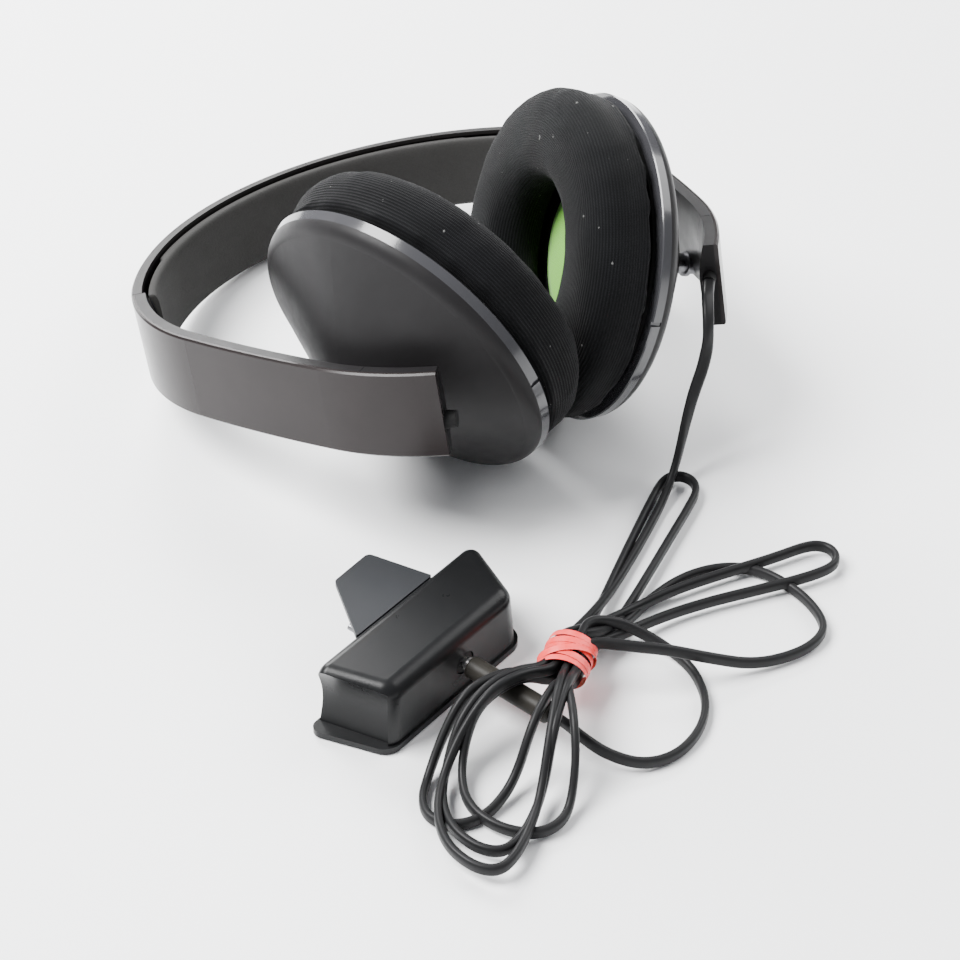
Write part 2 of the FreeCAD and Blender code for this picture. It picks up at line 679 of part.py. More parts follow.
for outline in (near_loop, far_loop, round_loop):
    plan = plan.fuse(plan_prism(outline))
hank = slab.common(plan)
tie_half = 6.0
tie_length = 13.0
neck_from = -tie_length / 2 - 1.0
neck_block = Part.makeBox(tie_length + 2.0, 40.0, 40.0, V(neck_from, -20.0, -5.0))
core = Part.makeBox(tie_length + 2.0, 2 * tie_half, tie_high - tie_low, V(neck_from, -tie_half, tie_low))
neck_block.Placement = tie_place
core.Placement = tie_place
hank = hank.cut(neck_block).fuse(core).removeSplitter()
band_wall = 1.4
band_outer = Part.makeBox(tie_length, 2 * (tie_half + band_wall), tie_high - tie_low + 2 * band_wall,
                          V(-tie_length / 2, -tie_half - band_wall, tie_low - band_wall))
band_outer = band_outer.makeFillet(3.0, [
    edge for edge in band_outer.Edges if abs(edge.Vertexes[0].X - edge.Vertexes[1].X) > 1])
band_outer.Placement = tie_place
rubber_band = band_outer.cut(core)

run = cord_tube("cable_run", run_points, cord_radius).cut(hank)
lead = cord_tube("cable_lead", lead_points, cord_radius).cut(hank)
save("cable_run", run)
save("cable_lead", lead)
save("cable_loops", hank)
save("rubber_band", rubber_band)
print("cord exit %.1f %.1f %.1f along %.3f %.3f %.3f" % (tuple(cord_exit) + tuple(exit_along)))
print("plug end %.1f %.1f %.1f along %.3f %.3f %.3f" % (tuple(barrel_end) + tuple(plug_along)))
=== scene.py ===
import bpy
import bmesh
import json
import math
from mathutils import Matrix, Vector


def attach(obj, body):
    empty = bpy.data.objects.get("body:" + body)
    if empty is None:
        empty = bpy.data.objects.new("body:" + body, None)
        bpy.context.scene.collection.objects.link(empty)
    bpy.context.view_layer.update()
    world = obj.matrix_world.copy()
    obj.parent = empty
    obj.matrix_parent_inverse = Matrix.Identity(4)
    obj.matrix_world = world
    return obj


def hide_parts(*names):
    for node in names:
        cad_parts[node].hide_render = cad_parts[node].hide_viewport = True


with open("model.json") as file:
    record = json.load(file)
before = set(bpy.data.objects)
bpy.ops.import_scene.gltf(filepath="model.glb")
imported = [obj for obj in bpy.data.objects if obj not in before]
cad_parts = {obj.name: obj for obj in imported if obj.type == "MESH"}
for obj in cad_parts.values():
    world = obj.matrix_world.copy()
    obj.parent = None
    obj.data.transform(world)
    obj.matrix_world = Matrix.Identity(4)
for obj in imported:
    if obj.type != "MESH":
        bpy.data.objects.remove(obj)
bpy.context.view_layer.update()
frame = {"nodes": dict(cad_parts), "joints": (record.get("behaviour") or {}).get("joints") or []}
print("frame loaded")

# ---- camera, floor and light

cameraSettings = {
    "place": (-0.3157, -0.4520, 0.4281),
    "aim": (-0.0205, -0.0554, 0.0),
    "lens": 84.7,
    "sensor": 36.0,
}
studioSettings = {
    "floorSize": 6.0,
    "floorColor": (0.96, 0.965, 0.97),
    "worldColor": (0.93, 0.95, 1.0),
    "worldStrength": 0.38,
    "keyPlace": (-0.9, 0.5, 1.5),
    "keySize": 1.1,
    "keyPower": 112.0,
    "fillPlace": (1.3, -0.3, 1.1),
    "fillSize": 1.4,
    "fillPower": 30.0,
    "backPlace": (0.3, 1.4, 0.9),
    "backSize": 1.2,
    "backPower": 78.0,
}


def linkObject(name, data):
    made = bpy.data.objects.new(name, data)
    bpy.context.scene.collection.objects.link(made)
    return made


def aimAt(thing, target):
    toTarget = Vector(target) - thing.location
    thing.rotation_euler = toTarget.to_track_quat("-Z", "Y").to_euler()


camera = linkObject("camera", bpy.data.cameras.new("camera"))
camera.location = cameraSettings["place"]
camera.data.lens = cameraSettings["lens"]
camera.data.sensor_width = cameraSettings["sensor"]
camera.data.clip_start = 0.02
aimAt(camera, cameraSettings["aim"])
bpy.context.scene.camera = camera


def addLight(name, place, size, power):
    data = bpy.data.lights.new(name, "AREA")
    data.shape = "DISK"
    data.size = size
    data.energy = power
    lamp = linkObject(name, data)
    lamp.location = place
    aimAt(lamp, (0, 0, 0.03))


for lampName in ("key", "fill", "back"):
    addLight(lampName, studioSettings[lampName + "Place"], studioSettings[lampName + "Size"],
             studioSettings[lampName + "Power"])

world = bpy.data.worlds.new("studio")
world.use_nodes = True
background = world.node_tree.nodes["Background"]
background.inputs["Color"].default_value = (*studioSettings["worldColor"], 1)
background.inputs["Strength"].default_value = studioSettings["worldStrength"]
bpy.context.scene.world = world

# ---- materials


def newMaterial(name):
    made = bpy.data.materials.new(name)
    made.use_nodes = True
    tree = made.node_tree
    shader = tree.nodes["Principled BSDF"]
    return made, tree, shader


def addNode(tree, kind, settings=None, **inputs):
    node = tree.nodes.new(kind)
    for key, value in (settings or {}).items():
        setattr(node, key, value)
    for key, value in inputs.items():
        fillSocket(tree, node.inputs[key.replace("_", " ")], value)
    return node


def fillSocket(tree, socket, value):
    if isinstance(value, bpy.types.NodeSocket):
        tree.links.new(value, socket)
    else:
        socket.default_value = value


def mathNode(tree, operation, first, second=0.0, third=0.0):
    node = tree.nodes.new("ShaderNodeMath")
    node.operation = operation
    for socket, value in zip(node.inputs, (first, second, third)):
        fillSocket(tree, socket, value)
    return node.outputs[0]


def objectPoint(tree):
    return tree.nodes.new("ShaderNodeTexCoord").outputs["Object"]


def noiseAt(tree, point, scale, detail=3.0, roughness=0.5):
    node = addNode(tree, "ShaderNodeTexNoise", Vector=point, Scale=scale, Detail=detail, Roughness=roughness)
    return node.outputs["Fac"]


def spread(tree, value, low, high):
    node = addNode(tree, "ShaderNodeMapRange", Value=value)
    node.inputs["From Min"].default_value = 0.3
    node.inputs["From Max"].default_value = 0.7
    node.inputs["To Min"].default_value = low
    node.inputs["To Max"].default_value = high
    return node.outputs["Result"]


def mixColors(tree, factor, first, second):
    node = tree.nodes.new("ShaderNodeMix")
    node.data_type = "RGBA"
    fillSocket(tree, node.inputs["Factor"], factor)
    fillSocket(tree, node.inputs["A"], (*first, 1) if isinstance(first, tuple) else first)
    fillSocket(tree, node.inputs["B"], (*second, 1) if isinstance(second, tuple) else second)
    return node.outputs["Result"]


def addBump(tree, shader, height, distance, strength=1.0):
    bump = addNode(tree, "ShaderNodeBump", Height=height, Distance=distance, Strength=strength)
    tree.links.new(bump.outputs["Normal"], shader.inputs["Normal"])
    return bump


def plasticFinish(name, color, roughness, grainSize, grainDepth, variation=0.25, coat=0.0, shine=0.10):
    made, tree, shader = newMaterial(name)
    point = objectPoint(tree)
    cloud = noiseAt(tree, point, 28.0, 4.0)
    grain = noiseAt(tree, point, 1.0 / grainSize, 2.0)
    paler = tuple(min(1.0, c * (1 + variation) + 0.001) for c in color)
    tree.links.new(mixColors(tree, spread(tree, cloud, 0.0, 1.0), color, paler), shader.inputs["Base Color"])
    smudge = noiseAt(tree, point, 90.0, 5.0, 0.65)
    tree.links.new(spread(tree, smudge, roughness * 0.85, roughness * 1.2), shader.inputs["Roughness"])
    addBump(tree, shader, grain, grainDepth)
    shader.inputs["Specular IOR Level"].default_value = shine
    shader.inputs["Coat Weight"].default_value = coat
    shader.inputs["Coat Roughness"].default_value = 0.08
    return made


def metalFinish(name, color, roughness, streakAxis=None):
    made, tree, shader = newMaterial(name)
    point = objectPoint(tree)
    if streakAxis is not None:
        stretch = addNode(tree, "ShaderNodeMapping", Vector=point)
        stretch.inputs["Scale"].default_value = [40.0 if i == streakAxis else 3000.0 for i in range(3)]
        streaks = noiseAt(tree, stretch.outputs["Vector"], 1.0, 3.0)
    else:
        streaks = noiseAt(tree, point, 900.0, 4.0)
    shader.inputs["Metallic"].default_value = 1.0
    darker = tuple(c * 0.82 for c in color)
    streaked = mixColors(tree, spread(tree, streaks, 0.0, 1.0), darker, color)
    tree.links.new(streaked, shader.inputs["Base Color"])
    tree.links.new(spread(tree, streaks, roughness * 0.7, roughness * 1.4), shader.inputs["Roughness"])
    addBump(tree, shader, streaks, 0.00001)
    return made


def clothFinish(name, color, fiber, roughness, sheen):
    made, tree, shader = newMaterial(name)
    point = objectPoint(tree)
    fuzz = noiseAt(tree, point, 1.0 / fiber, 4.0, 0.7)
    cloud = noiseAt(tree, point, 45.0, 4.0)
    darker = tuple(c * 0.55 for c in color)
    tree.links.new(mixColors(tree, spread(tree, fuzz, 0.0, 1.0), darker, color), shader.inputs["Base Color"])
    tree.links.new(spread(tree, cloud, roughness * 0.92, roughness), shader.inputs["Roughness"])
    shader.inputs["Sheen Weight"].default_value = sheen
    shader.inputs["Sheen Roughness"].default_value = 0.45
    shader.inputs["Sheen Tint"].default_value = (*color, 1)
    addBump(tree, shader, mathNode(tree, "ADD", fuzz, mathNode(tree, "MULTIPLY", cloud, 0.6)), 0.00018)
    return made


floorFinish = newMaterial("floor")[0]
floorShader = floorFinish.node_tree.nodes["Principled BSDF"]
floorShader.inputs["Base Color"].default_value = (*studioSettings["floorColor"], 1)
floorShader.inputs["Roughness"].default_value = 0.55

floorMesh = bmesh.new()
bmesh.ops.create_grid(floorMesh, x_segments=1, y_segments=1, size=studioSettings["floorSize"] / 2)
floorData = bpy.data.meshes.new("floor")
floorMesh.to_mesh(floorData)
floorMesh.free()
floor = linkObject("floor", floorData)
floor.data.materials.append(floorFinish)
print("camera, floor and light ready")

# ---- cable: one flat lead from the arm, through eight passes of the tie, to the plug

cableSettings = {
    "width": 0.0035,
    "thickness": 0.0021,
    "length": 1.41,
    "tie": (-0.0530, -0.1367, 0.0),
    "tieTurn": 34.0,
    "tieHalf": 0.0065,
    "cordDiameter": 0.0032,
    # each shape is (share of the reach, share of the bulge), going out to the tip and coming back
    "turnShape": [(0.13, 0.36), (0.27, 0.68), (0.44, 0.93), (0.62, 1.0), (0.80, 0.88),
                  (0.93, 0.62), (1.0, 0.22)],
    "backShape": [(0.99, 0.36), (0.90, 0.84), (0.76, 1.0), (0.58, 0.92), (0.40, 0.66),
                  (0.24, 0.38), (0.11, 0.16)],
    "narrowTurn": [(0.16, 0.25), (0.33, 0.50), (0.50, 0.72), (0.68, 0.88), (0.84, 1.0),
                   (0.955, 1.0), (1.0, 0.40)],
    "narrowBack": [(1.0, 0.40), (0.955, 1.0), (0.82, 0.95), (0.64, 0.80), (0.46, 0.60),
                   (0.28, 0.36), (0.12, 0.15)],
    "narrowUnder": 0.006,
    "bowShare": 6.75,
    "settledAt": 0.026,
    "settleRun": 0.019,
    "overPlug": 0.0163,
    "lowestLevel": 0.0018,
    "levelShare": 0.7,
    "climbFrom": 0.007,
    "climbRun": 0.0055,
    "fallFrom": 0.024,
    "fallRun": 0.017,
    "flatPoints": 9,
    "tiltStep": 11,
}
runPoints = [
    (0.0444, -0.0760, 0.0544), (0.0403, -0.0800, 0.0554), (0.0373, -0.0837, 0.0543),
    (0.0348, -0.0872, 0.0510), (0.0336, -0.0890, 0.0456), (0.0325, -0.0889, 0.0376),
    (0.0305, -0.0881, 0.0293), (0.0281, -0.0884, 0.0201), (0.0257, -0.0893, 0.0120),
    (0.0225, -0.0911, 0.0073), (0.0186, -0.0934, 0.0043), (0.0142, -0.0960, 0.0026),
    (0.0098, -0.0986, 0.00175)]
entryPoints = [
    (0.0000, -0.1044, 0.0018), (-0.0110, -0.1105, 0.0019), (-0.0220, -0.1165, 0.0026),
    (-0.0330, -0.1224, 0.0054)]
leadPoints = [
    (-0.0400, -0.1290, 0.0125), (-0.0315, -0.1315, 0.0090), (-0.0248, -0.1380, 0.0040),
    (-0.0220, -0.1478, 0.0020), (-0.0235, -0.1558, 0.00175), (-0.0280, -0.1638, 0.00175),
    (-0.0360, -0.1698, 0.00175), (-0.0460, -0.1722, 0.00175), (-0.0550, -0.1698, 0.0026),
    (-0.0615, -0.1638, 0.0055), (-0.0650, -0.1582, 0.0090), (-0.0664, -0.1531, 0.0110),
    (-0.0676, -0.1482, 0.0110)]
# each loop leaves the tie, swings out and comes back; angles are round the tie, sizes in metres
tiedLoops = [
    {"angle": 197.0, "reach": 0.0565, "out": -0.0112, "back": 0.0092, "bow": 0.0, "level": 0.0019},
    {"angle": 29.6, "reach": 0.0900, "out": -0.0056, "back": 0.0052, "bow": 0.0, "level": 0.0030},
    {"angle": 219.0, "reach": 0.0515, "out": -0.0190, "back": 0.0102, "bow": 0.0, "level": 0.0026},
    {"angle": -2.6, "reach": 0.0905, "out": -0.0056, "back": 0.0052, "bow": 0.0090, "level": 0.0034},
    {"angle": 214.5, "reach": 0.0600, "out": -0.0190, "back": 0.0056, "bow": 0.0, "level": 0.0036},
    {"angle": -16.0, "reach": 0.0740, "out": -0.0135, "back": 0.0255, "bow": 0.0050, "level": 0.0022},
    {"angle": 216.0, "reach": 0.0665, "out": -0.0200, "back": 0.0050, "bow": 0.0, "level": 0.0046},
]
tieSlots = [(0.0039, 0.0100), (-0.0039, 0.0100), (0.0013, 0.0100), (-0.0013, 0.0100),
            (0.0039, 0.0140), (-0.0039, 0.0140), (0.0013, 0.0140), (-0.0013, 0.0140)]
tieTurned = Matrix.Rotation(math.radians(cableSettings["tieTurn"]), 4, "Z")
tiePlace = Matrix.Translation(cableSettings["tie"]) @ tieTurned


def strandHeight(alongTie, slotHeight, level):
    # down to the table on the long side, over the plug barrel and then down on the other
    if alongTie >= 0:
        rise = min(1.0, max(0.0, (cableSettings["settledAt"] - alongTie) / cableSettings["settleRun"]))
        return level + (slotHeight - level) * rise * rise * (3 - 2 * rise)
    above = (level - cableSettings["lowestLevel"]) * cableSettings["levelShare"]
    overPlug = cableSettings["overPlug"] + above
    if alongTie > -(cableSettings["climbFrom"] + cableSettings["climbRun"]):
        climb = max(0.0, (-alongTie - cableSettings["climbFrom"]) / cableSettings["climbRun"])
        return slotHeight + (overPlug - slotHeight) * climb
    fall = min(1.0, max(0.0, (-alongTie - cableSettings["fallFrom"]) / cableSettings["fallRun"]))
    return overPlug + (level - overPlug) * fall * fall * (3 - 2 * fall)


def tiePass(slot, fromFront):
    side, height = slot
    ends = (1, 0, -1) if fromFront else (-1, 0, 1)
    return [tiePlace @ Vector((end * cableSettings["tieHalf"], side, height)) for end in ends]


def loopPoints(loop, leaving, entering):
    axis = Matrix.Rotation(math.radians(loop["angle"] - cableSettings["tieTurn"]), 4, "Z")
    made = []
    narrow = abs(loop["out"]) < cableSettings["narrowUnder"]
    turnShape = cableSettings["narrowTurn" if narrow else "turnShape"]
    backShape = cableSettings["narrowBack" if narrow else "backShape"]
    halves = ((turnShape, loop["out"], leaving), (backShape, loop["back"], entering))
    start = cableSettings["tieHalf"]
    for shape, bulge, slot in halves:
        for part, swing in shape:
            bow = loop["bow"] * cableSettings["bowShare"] * part * (1 - part) ** 2
            spot = axis @ Vector((start + part * (loop["reach"] - start), swing * bulge + bow, 0))
            spot.y += slot[0] * (1 - part) ** 2
            spot.z = strandHeight(spot.x, slot[1], loop["level"])
            made.append(tiePlace @ spot)
    return made


cableRoute = [Vector(point) for point in runPoints + entryPoints]
for turn, loop in enumerate(tiedLoops):
    cableRoute += tiePass(tieSlots[turn], turn % 2 == 0)
    cableRoute += loopPoints(loop, tieSlots[turn], tieSlots[turn + 1])
cableRoute += tiePass(tieSlots[7], False)
cableRoute += [Vector(point) for point in leadPoints]


def makeSpline(name, route):
    data = bpy.data.curves.new(name, "CURVE")
    data.dimensions = "3D"
    spline = data.splines.new("NURBS")
    spline.points.add(len(route) - 1)
    for point, spot in zip(spline.points, route):
        point.co = (*spot, 1)
    spline.order_u = 3
    spline.use_endpoint_u = True
    spline.resolution_u = 6
    return data


cableData = makeSpline("cable", cableRoute)
cableData.twist_mode = "Z_UP"
cableData.bevel_depth = cableSettings["thickness"] / 2
cableData.extrude = (cableSettings["width"] - cableSettings["thickness"]) / 2
cableData.bevel_resolution = 3
cableData.use_fill_caps = True
# flat at the arm, on edge by the time it lies down
for number, point in enumerate(cableData.splines[0].points[:cableSettings["flatPoints"]]):
    point.tilt = math.radians(90 - cableSettings["tiltStep"] * number)
cable = linkObject("cable", cableData)
cable.data.materials.append(plasticFinish("cableVinyl", (0.012, 0.012, 0.0125), 0.36, 0.00025, 0.00001))
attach(cable, "right_arm")
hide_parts("cable_run", "cable_lead", "cable_loops")
print("cable laid,", len(cableRoute), "points")

# ---- rubber band that ties the loops: one round strand, each of its turns a closed ring

tieBandSettings = {
    "halfWidth": 0.0066,
    "halfHeight": 0.0051,
    "centerHeight": 0.0120,
    "strand": 0.00105,
    "spinRadius": 0.006,
    "crossingWrap": 5,
    "crossingGrow": 0.16,
    "everyOtherGrow": 0.03,
    # each turn's place along the tie, its turn and its lean
    "wraps": [(-0.0046, 4.0, 3.0), (-0.0021, -3.0, -2.0), (0.0004, 2.0, 4.0), (0.0027, 5.0, -3.0),
              (0.0047, -2.0, 2.0), (-0.0004, 24.0, -6.0)],
    "color": (0.90, 0.026, 0.024),
}


def finishMesh(bm, name, finish):
    data = bpy.data.meshes.new(name)
    bm.to_mesh(data)
    bm.free()
    for face in data.polygons:
        face.use_smooth = True
    made = linkObject(name, data)
    made.data.materials.append(finish)
    return made


def rubberFinish(name, color):
    made, tree, shader = newMaterial(name)
    point = objectPoint(tree)
    cloud = noiseAt(tree, point, 350.0, 4.0, 0.6)
    paler = tuple(min(1.0, c * 1.25 + 0.05) for c in color)
    tree.links.new(mixColors(tree, spread(tree, cloud, 0.0, 1.0), color, paler), shader.inputs["Base Color"])
    tree.links.new(spread(tree, cloud, 0.38, 0.5), shader.inputs["Roughness"])
    shader.inputs["Subsurface Weight"].default_value = 0.12
    shader.inputs["Subsurface Radius"].default_value = (0.002, 0.0006, 0.0004)
    addBump(tree, shader, cloud, 0.00008)
    return made


bm = bmesh.new()
for wrap, (along, turn, lean) in enumerate(tieBandSettings["wraps"]):
    crossing = wrap == tieBandSettings["crossingWrap"]
    otherGrow = tieBandSettings["everyOtherGrow"] * (wrap % 2)
    grow = 1.0 + (tieBandSettings["crossingGrow"] if crossing else otherGrow)
    ring = bmesh.ops.create_circle(bm, segments=10, radius=tieBandSettings["strand"])["verts"]
    bmesh.ops.rotate(bm, verts=ring, matrix=Matrix.Rotation(math.radians(90), 3, "Y"))
    bmesh.ops.rotate(bm, verts=ring, matrix=Matrix.Rotation(math.radians(90), 3, "Z"))
    bmesh.ops.rotate(bm, verts=ring, matrix=Matrix.Rotation(math.radians(90), 3, "X"))
    bmesh.ops.translate(bm, verts=ring, vec=(0, 0, tieBandSettings["spinRadius"]))
    edges = list({edge for vert in ring for edge in vert.link_edges})
    bmesh.ops.spin(bm, geom=ring + edges, cent=(0, 0, 0), axis=(1, 0, 0), angle=math.radians(360), steps=40,
                   use_merge=True, use_duplicate=False)
    island = [vert for vert in bm.verts if not vert.tag]
    for vert in island:
        radius = math.hypot(vert.co.y, vert.co.z)
        outward = radius - tieBandSettings["spinRadius"]
        wide = (tieBandSettings["halfWidth"] * grow + outward) / radius
        high = (tieBandSettings["halfHeight"] * grow + outward) / radius
        vert.co = Vector((vert.co.x, vert.co.y * wide, vert.co.z * high))
        vert.tag = True
    place = (tiePlace @ Matrix.Translation((along, 0, tieBandSettings["centerHeight"]))
             @ Matrix.Rotation(math.radians(turn), 4, "Z") @ Matrix.Rotation(math.radians(lean), 4, "Y"))
    bmesh.ops.transform(bm, verts=island, matrix=place)
bmesh.ops.recalc_face_normals(bm, faces=bm.faces)
tieBand = finishMesh(bm, "tieBand", rubberFinish("pinkRubber", tieBandSettings["color"]))
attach(tieBand, "right_arm")
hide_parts("rubber_band")
print("rubber band wound")

# ---- cups: where each one sits, from its two hinge axes

cushionSettings = {
    "middle": -0.0112,
    "halfDepth": 0.0100,
    "ringRadius": 0.0347,
    "halfWidth": 0.0137,
    "seatRadius": 0.0470,
    "seatFrom": -0.0090,
    "square": 2.5,
    "pressure": 3.6,
    "remesh": 0.0042,
    "cap": 0.0022,
    "back": -0.0002,
    "gap": 0.0003,
    "seatRun": 0.005,
    "seatOutside": 0.006,
    "pressFrom": 0.004,
    "pressFade": 0.0037,
    "frames": 20,
    "wales": 330.0,
    "courses": 92.0,
    "zigzag": 1.5,
    "lintOver": 0.755,
    "lintColor": (0.30, 0.30, 0.29),
    "color": (0.0042, 0.0044, 0.0049),
}


def jointNamed(name):
    return next(joint for joint in frame["joints"] if joint["name"] == name)


def cupPlace(side):
    turn = jointNamed(side + "_swivel_turn")
    tilt = jointNamed(side + "_cup_tilt")
    across = Vector(tilt["axis"]).normalized()
    outward = across.cross(Vector(turn["axis"])).normalized()
    if outward.x * turn["pos_m"][0] < 0:
        outward = -outward
    third = outward.cross(across)
    place = Matrix((across, third, outward)).transposed().to_4x4()
    place.translation = Vector(turn["pos_m"]) - outward * 0.021
    return place


def knitFinish(name, place, color):
    # rib rows run round the cushion and stitches across it, from the cushion's own axis
    made, tree, shader = newMaterial(name)
    inverse = place.inverted()
    local = addNode(tree, "ShaderNodeMapping", Vector=objectPoint(tree))
    local.inputs["Location"].default_value = inverse.translation
    local.inputs["Rotation"].default_value = inverse.to_euler("XYZ")
    parts = addNode(tree, "ShaderNodeSeparateXYZ", Vector=local.outputs["Vector"])
    x, y, z = parts.outputs
    angle = mathNode(tree, "ARCTAN2", y, x)
    radius = mathNode(tree, "SQRT", mathNode(tree, "ADD", mathNode(tree, "MULTIPLY", x, x),
                                             mathNode(tree, "MULTIPLY", y, y)))
    belly = mathNode(tree, "ARCTAN2", mathNode(tree, "SUBTRACT", z, cushionSettings["middle"]),
                     mathNode(tree, "SUBTRACT", radius, cushionSettings["ringRadius"]))
    wales = mathNode(tree, "COSINE", mathNode(tree, "MULTIPLY", angle, cushionSettings["wales"]))
    zigzag = mathNode(tree, "MULTIPLY", mathNode(tree, "ABSOLUTE", wales), cushionSettings["zigzag"])
    rows = mathNode(tree, "MULTIPLY", belly, cushionSettings["courses"])
    courses = mathNode(tree, "COSINE", mathNode(tree, "ADD", rows, zigzag))
    raised = mathNode(tree, "ADD", mathNode(tree, "ABSOLUTE", wales), courses)
    stitch = mathNode(tree, "MULTIPLY_ADD", raised, 0.33, 0.33)
    lint = noiseAt(tree, objectPoint(tree), 420.0, 2.0, 0.5)
    specks = mathNode(tree, "GREATER_THAN", lint, cushionSettings["lintOver"])
    cloud = noiseAt(tree, objectPoint(tree), 60.0, 4.0)
    # painted shade: the low grooves of the stitch height are coloured darker and the raised stitches keep the
    # cloth colour with random tone; the pale specks mixed in after are real lint
    darker = tuple(c * 0.25 for c in color)
    lighter = tuple(c * 2.1 for c in color)
    cloth = mixColors(tree, stitch, darker, mixColors(tree, spread(tree, cloud, 0.0, 1.0), color, lighter))
    lintAndGrooveShade = mixColors(tree, mathNode(tree, "MULTIPLY", specks, 0.35), cloth, cushionSettings["lintColor"])
    tree.links.new(lintAndGrooveShade, shader.inputs["Base Color"])
    shader.inputs["Roughness"].default_value = 0.88
    shader.inputs["Specular IOR Level"].default_value = 0.08
    shader.inputs["Sheen Weight"].default_value = 0.045
    shader.inputs["Sheen Roughness"].default_value = 0.4
    addBump(tree, shader, stitch, 0.00022, 0.9)
    return made


def cushionShape(place):
    # one rounded-square section, spun round the cup's axis
    bm = bmesh.new()
    section = bmesh.ops.create_circle(bm, segments=24, radius=1.0)["verts"]
    for vert in section:
        power = 2.0 / cushionSettings["square"]
        wide = math.copysign(abs(vert.co.x) ** power, vert.co.x)
        deep = math.copysign(abs(vert.co.y) ** power, vert.co.y)
        vert.co = Vector((cushionSettings["ringRadius"] + wide * cushionSettings["halfWidth"], 0,
                          cushionSettings["middle"] + deep * cushionSettings["halfDepth"]))
    bmesh.ops.spin(bm, geom=bm.verts[:] + bm.edges[:], cent=(0, 0, 0), axis=(0, 0, 1),
                   angle=math.radians(360), steps=72, use_merge=True, use_duplicate=False)
    bmesh.ops.recalc_face_normals(bm, faces=bm.faces)
    bmesh.ops.transform(bm, verts=bm.verts, matrix=place)
    return bm


def swell(piece, settings):
    # remesh, blow up a little with cloth pressure, and keep the result
    rest = piece.modifiers.new("remesh", "REMESH")
    rest.mode = "VOXEL"
    rest.voxel_size = settings["remesh"]
    rest.use_smooth_shade = True
    bpy.context.view_layer.objects.active = piece
    bpy.ops.object.modifier_apply(modifier=rest.name)
    before = [vert.co.copy() for vert in piece.data.vertices]
    cloth = piece.modifiers.new("cloth", "CLOTH")
    cloth.settings.use_pressure = True
    cloth.settings.uniform_pressure_force = settings["pressure"]
    cloth.settings.effector_weights.gravity = 0
    cloth.settings.quality = 5
    cloth.point_cache.frame_start = 1
    cloth.point_cache.frame_end = settings["frames"]
    scene = bpy.context.scene
    for step in range(1, settings["frames"] + 1):
        scene.frame_set(step)
    evaluated = piece.evaluated_get(bpy.context.evaluated_depsgraph_get())
    moved = [vert.co.copy() for vert in evaluated.data.vertices]
    piece.modifiers.remove(cloth)
    scene.frame_set(1)
    for vert, start, end in zip(piece.data.vertices, before, moved):
        travel = end - start
        if travel.length > settings["cap"]:
            travel = travel.normalized() * settings["cap"]
        vert.co = start + travel


def makeCushion(side):
    place = cupPlace(side)
    finish = knitFinish(side + "Knit", place, cushionSettings["color"])
    cushion = finishMesh(cushionShape(place), side + "Cushion", finish)
    swell(cushion, cushionSettings)
    inverse = place.inverted()
    sign = 1 if side == "right" else -1
    for vert in cushion.data.vertices:
        local = inverse @ vert.co
        local.z = min(local.z, cushionSettings["back"])
        radius = math.hypot(local.x, local.y)
        seated = min(1.0, max(0.0, (local.z - cushionSettings["seatFrom"]) / cushionSettings["seatRun"]))
        if radius > cushionSettings["ringRadius"] + cushionSettings["seatOutside"]:
            widen = 1 + seated * (cushionSettings["seatRadius"] / radius - 1)
            local.x *= widen
            local.y *= widen
        vert.co = place @ local
        # where the two cushions meet they press flat against each other
        clear = vert.co.x * sign
        fade = cushionSettings["pressFade"]
        if clear < cushionSettings["pressFrom"]:
            pressed = fade * math.exp((clear - cushionSettings["pressFrom"]) / fade)
            vert.co.x = sign * (cushionSettings["gap"] + pressed)
    finer = cushion.modifiers.new("finer", "SUBSURF")
    finer.levels = 1
    finer.render_levels = 1
    bpy.context.view_layer.objects.active = cushion
    bpy.ops.object.modifier_apply(modifier=finer.name)
    for face in cushion.data.polygons:
        face.use_smooth = True
    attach(cushion, side + "_cup")
    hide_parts("ear_cushion_" + side)
    print(side, "cushion swelled")


for side in ("left", "right"):
    makeCushion(side)

# ---- driver cloths: an open green weave, domed a little over each driver

clothSettings = {
    "radius": 0.0225,
    "rim": -0.0013,
    "dome": 0.0016,
    "thickness": 0.0003,
    "color": (0.20, 0.62, 0.035),
    "thread": 0.00042,
}


def weaveFinish(name, place, color, thread):
    made, tree, shader = newMaterial(name)
    inverse = place.inverted()
    local = addNode(tree, "ShaderNodeMapping", Vector=objectPoint(tree))
    local.inputs["Location"].default_value = inverse.translation
    local.inputs["Rotation"].default_value = inverse.to_euler("XYZ")
    x, y = addNode(tree, "ShaderNodeSeparateXYZ", Vector=local.outputs["Vector"]).outputs[:2]
    turns = math.pi / thread
    warp = mathNode(tree, "ABSOLUTE", mathNode(tree, "SINE", mathNode(tree, "MULTIPLY", x, turns)))
    weft = mathNode(tree, "ABSOLUTE", mathNode(tree, "SINE", mathNode(tree, "MULTIPLY", y, turns)))
    threads = mathNode(tree, "MAXIMUM", warp, weft)
    darker = tuple(c * 0.30 for c in color)
    holes = mathNode(tree, "POWER", threads, 2.5)
    tree.links.new(mixColors(tree, holes, darker, color), shader.inputs["Base Color"])
    shader.inputs["Roughness"].default_value = 0.8
    shader.inputs["Sheen Weight"].default_value = 0.2
    addBump(tree, shader, holes, 0.00012)
    return made


